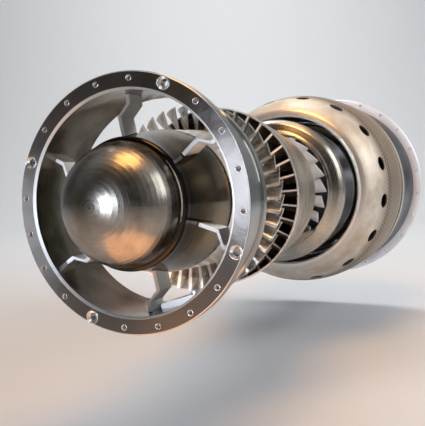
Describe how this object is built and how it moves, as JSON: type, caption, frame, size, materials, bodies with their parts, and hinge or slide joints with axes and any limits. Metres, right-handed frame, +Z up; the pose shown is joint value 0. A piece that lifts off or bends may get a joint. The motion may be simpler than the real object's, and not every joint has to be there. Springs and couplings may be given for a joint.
{
  "type": "jet engine",
  "caption": "Small single-spool turbojet, laid open to show its compressor and combustor, with polished inlet, blade rows, annular liner and turbine.",
  "frame": {"origin": "centre of the front flange's front face, on the engine axis", "axes": "+Y along the engine axis from the inlet to the exhaust, +Z up, +X to the side with the window in the rear compressor casing"},
  "size_m": [0.3294, 0.815, 0.3294],
  "materials": {
    "machined_casting": "turned and polished",
    "polished_steel": "mirror polished",
    "bright_aluminium": "fine satin",
    "coil_winding": "varnished copper wire",
    "bearing_steel": "ground",
    "cage_brass": "satin",
    "satin_steel": "satin, warm grey",
    "blade_steel": "milled and polished edges",
    "cast_aluminium": "turned",
    "dark_steel": "dark satin",
    "heat_steel": "heat-tinted tan",
    "pipe_steel": "drawn",
    "hot_alloy": "heat-darkened",
    "grey_steel": "satin blue-grey",
    "shaft_steel": "ground"
  },
  "bodies": {
    "engine": {"inlet_casing": "machined_casting", "nose_cone": "polished_steel", "inlet_plate": "bright_aluminium", "plate_screw": "bright_aluminium", "alternator_stator": "coil_winding", "front_bearing_outer": "bearing_steel", "stator_1": "blade_steel", "rear_case": "satin_steel", "stator_2": "blade_steel", "stator_3": "blade_steel", "diffuser_hub": "cast_aluminium", "outlet_vanes": "bright_aluminium", "diffuser_casing": "cast_aluminium", "outlet_sleeve": "dark_steel", "outer_liner": "heat_steel", "inner_liner": "heat_steel", "fuel_manifold": "pipe_steel", "fuel_injectors": "pipe_steel", "shaft_tunnel": "dark_steel", "tunnel_bolts": "shaft_steel", "rear_bearing_outer": "bearing_steel", "turbine_nozzle": "hot_alloy", "turbine_shroud": "hot_alloy", "rear_casing": "grey_steel", "exhaust_duct": "hot_alloy"},
    "spool": {"main_shaft": "shaft_steel", "front_nut": "shaft_steel", "alternator_rotor": "shaft_steel", "front_bearing_inner": "bearing_steel", "rotor_1": "blade_steel", "spacer_1": "shaft_steel", "rotor_2": "blade_steel", "spacer_2": "shaft_steel", "rotor_3": "blade_steel", "long_spacer": "shaft_steel", "rear_bearing_inner": "bearing_steel", "turbine_spacer": "shaft_steel", "turbine_wheel": "hot_alloy", "rear_nut": "shaft_steel"},
    "front_cage": {"front_bearing_cage": "cage_brass"},
    "rear_cage": {"rear_bearing_cage": "cage_brass"}
  },
  "joints": [
    {"name": "spool_spin", "type": "hinge", "parent": "engine", "child": "spool", "pos_m": [0, 0.3, 0], "axis": [0, 1, 0], "continuous": true},
    {"name": "front_cage_spin", "type": "hinge", "parent": "engine", "child": "front_cage", "pos_m": [0, 0.036, 0], "axis": [0, 1, 0], "continuous": true},
    {"name": "rear_cage_spin", "type": "hinge", "parent": "engine", "child": "rear_cage", "pos_m": [0, 0.612, 0], "axis": [0, 1, 0], "continuous": true}
  ],
  "couplings": [
    {"joint": "front_cage_spin", "follows": "spool_spin", "ratio": 0.36},
    {"joint": "rear_cage_spin", "follows": "spool_spin", "ratio": 0.41}
  ]
}
